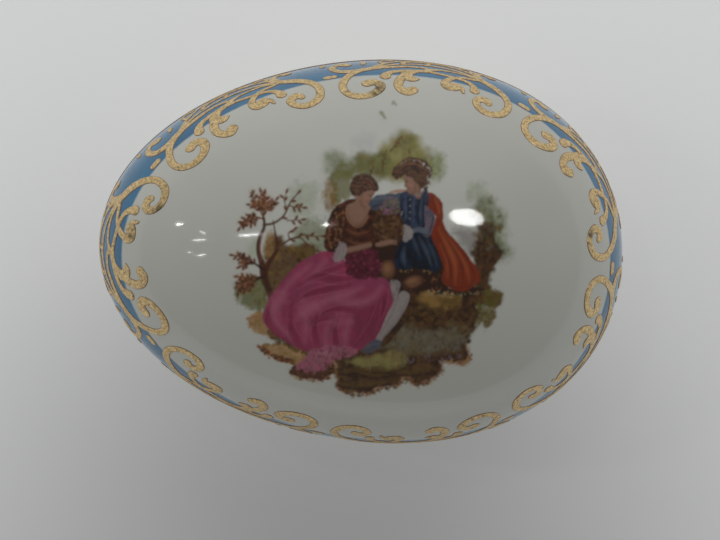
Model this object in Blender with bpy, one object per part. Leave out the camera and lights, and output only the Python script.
"""Egg-shaped porcelain trinket box: a base on an oval foot ring, and a lift-off lid.

Metres, +Z up. X runs along the egg, with its blunter end at +X, and Y runs across it.
The origin is on the surface the box stands on, under the middle of its outline.
"""

import math

import bmesh
import bpy

# The egg's outline, seen from above.
HALF_LENGTH = 0.0550
HALF_WIDTH = 0.04005
BLUNTNESS = 0.108  # widens the +X end and narrows the other
FULLNESS = 0.035  # fills both ends out
CROWN_X = 0.0055  # where the egg is widest, and so highest and lowest

# Heights.
SEAM_HEIGHT = 0.0350  # the plane where lid and base meet
LID_RISE = 0.0380  # from the seam to the crown of the lid
BASE_DROP = 0.0360  # from the seam to the lowest point of the full egg, inside the foot
SEAM_GAP = 0.0003

# Walls.
WALL = 0.0030
RIM_ROUND = 0.0004  # easing of every rim edge
FLOOR_THICKNESS = 0.0032

# The locating lip that stands up from the base inside the lid.
LIP_CLEARANCE = 0.0006
LIP_THICKNESS = 0.0018
LIP_HEIGHT = 0.0032
LIP_ROOT_DEPTH = 0.0055  # below the seam, where the wall behind the lip is thin again

# The foot ring, as shares of the outline's size.
FOOT_OUTER_SPREAD = 0.44
FOOT_INNER_SPREAD = 0.36
FOOT_RECESS = 0.0013

# Facets.
AROUND = 64
DOME_STEPS = 11
INNER_STEPS = 9
POLE_SPREAD = 0.07  # a dome ends in a small flat cap of this share of the outline

GLAZED_WHITE = (0.86, 0.87, 0.84, 1.0)


def clear_scene():
    for old in list(bpy.data.objects):
        bpy.data.objects.remove(old, do_unlink=True)


def porcelain(name):
    material = bpy.data.materials.new(name)
    material.use_nodes = True
    shader = material.node_tree.nodes["Principled BSDF"]
    shader.inputs["Base Color"].default_value = GLAZED_WHITE
    shader.inputs["Roughness"].default_value = 0.12
    shader.inputs["Metallic"].default_value = 0.0
    return material


def egg_outline(turn, inset):
    """A point of the outline, moved in by inset, at an angle round the egg."""
    side = 1 + BLUNTNESS * math.cos(turn) + FULLNESS * math.cos(turn) ** 2
    x = (HALF_LENGTH - inset) * math.cos(turn)
    y = (HALF_WIDTH - inset) * math.sin(turn) * side
    return x, y


def egg_ring(shell, inset, spread, height):
    """A closed ring of vertices: the outline, shrunk by spread towards the crown's axis."""
    ring = []
    for step in range(AROUND):
        x, y = egg_outline(2 * math.pi * step / AROUND, inset)
        place = (CROWN_X + (x - CROWN_X) * spread, y * spread, height)
        ring.append(shell.verts.new(place))
    return ring


def dome_stations(inset, rise, lowest, highest, steps):
    """Stations up a dome of the given rise, from one height over its rim to another."""
    start = math.asin(lowest / rise)
    end = math.asin(highest / rise)
    stations = []
    for step in range(steps + 1):
        lift = start + (end - start) * step / steps
        stations.append((inset, math.cos(lift), rise * math.sin(lift)))
    return stations


def cap_height(rise):
    return rise * math.sqrt(1 - POLE_SPREAD**2)


def loft(shell, rings):
    """Quads between each ring and the next, and a flat cap on the first and the last."""
    for lower, upper in zip(rings, rings[1:]):
        for step in range(AROUND):
            after = (step + 1) % AROUND
            shell.faces.new((lower[step], lower[after], upper[after], upper[step]))
    shell.faces.new(rings[0])
    shell.faces.new(list(reversed(rings[-1])))


def shell_object(name, stations, material):
    """One closed shell through stations given as (inset, spread, height)."""
    shell = bmesh.new()
    rings = [egg_ring(shell, *station) for station in stations]
    loft(shell, rings)
    bmesh.ops.recalc_face_normals(shell, faces=shell.faces)
    mesh = bpy.data.meshes.new(name)
    shell.to_mesh(mesh)
    shell.free()
    mesh.shade_smooth()
    mesh.set_sharp_from_angle(angle=math.radians(35))
    mesh.materials.append(material)
    piece = bpy.data.objects.new(name, mesh)
    bpy.context.scene.collection.objects.link(piece)
    return piece


def lid():
    """The upper half of the egg, with its mesh's heights taken from the seam."""
    outer = dome_stations(0, LID_RISE, RIM_ROUND, cap_height(LID_RISE), DOME_STEPS)
    inner_rise = LID_RISE - WALL
    inner = dome_stations(WALL, inner_rise, RIM_ROUND, cap_height(inner_rise), INNER_STEPS)
    rim = [
        (WALL - RIM_ROUND, 1.0, 0.0),
        (RIM_ROUND, 1.0, 0.0),
    ]
    return shell_object("lid", list(reversed(inner)) + rim + outer, porcelain("lid_glaze"))


def base_outside():
    """From the recess under the base, over the foot ring and up to the seam."""
    foot_top = BASE_DROP * math.sqrt(1 - FOOT_OUTER_SPREAD**2)
    ground = -SEAM_HEIGHT
    flare = RIM_ROUND / HALF_WIDTH
    foot = [
        (0, 0.05, ground + FOOT_RECESS),
        (0, FOOT_INNER_SPREAD - 0.02, ground + FOOT_RECESS),
        (0, FOOT_INNER_SPREAD, ground + RIM_ROUND),
        (0, FOOT_INNER_SPREAD + flare, ground),
        (0, FOOT_OUTER_SPREAD - flare, ground),
        (0, FOOT_OUTER_SPREAD, ground + RIM_ROUND),
    ]
    bowl = dome_stations(0, BASE_DROP, RIM_ROUND, foot_top, DOME_STEPS)
    side = [(inset, spread, -depth) for inset, spread, depth in reversed(bowl)]
    return foot + side


def base_seat():
    """The shoulder that the lid rests on, and the lip that keeps the lid in place."""
    lip_outer = WALL + LIP_CLEARANCE
    lip_inner = lip_outer + LIP_THICKNESS
    seat = -SEAM_GAP
    return [
        (RIM_ROUND, 1.0, seat),
        (lip_outer, 1.0, seat),
        (lip_outer + 0.0002, 1.0, LIP_HEIGHT - RIM_ROUND),
        (lip_outer + 0.0002 + RIM_ROUND, 1.0, LIP_HEIGHT),
        (lip_inner - RIM_ROUND, 1.0, LIP_HEIGHT),
        (lip_inner, 1.0, LIP_HEIGHT - RIM_ROUND),
        (lip_inner, 1.0, -RIM_ROUND),
    ]


def base_inside():
    """From behind the lip down to the floor of the bowl."""
    inner_drop = SEAM_HEIGHT - FOOT_RECESS - FLOOR_THICKNESS
    bowl = dome_stations(WALL, inner_drop, LIP_ROOT_DEPTH, cap_height(inner_drop), INNER_STEPS)
    return [(inset, spread, -depth) for inset, spread, depth in bowl]


def base():
    """The lower half of the egg, with its mesh's heights taken from the seam."""
    stations = base_outside() + base_seat() + base_inside()
    return shell_object("base", stations, porcelain("base_glaze"))


def main():
    clear_scene()
    for piece in (base(), lid()):
        piece.location.z = SEAM_HEIGHT


main()
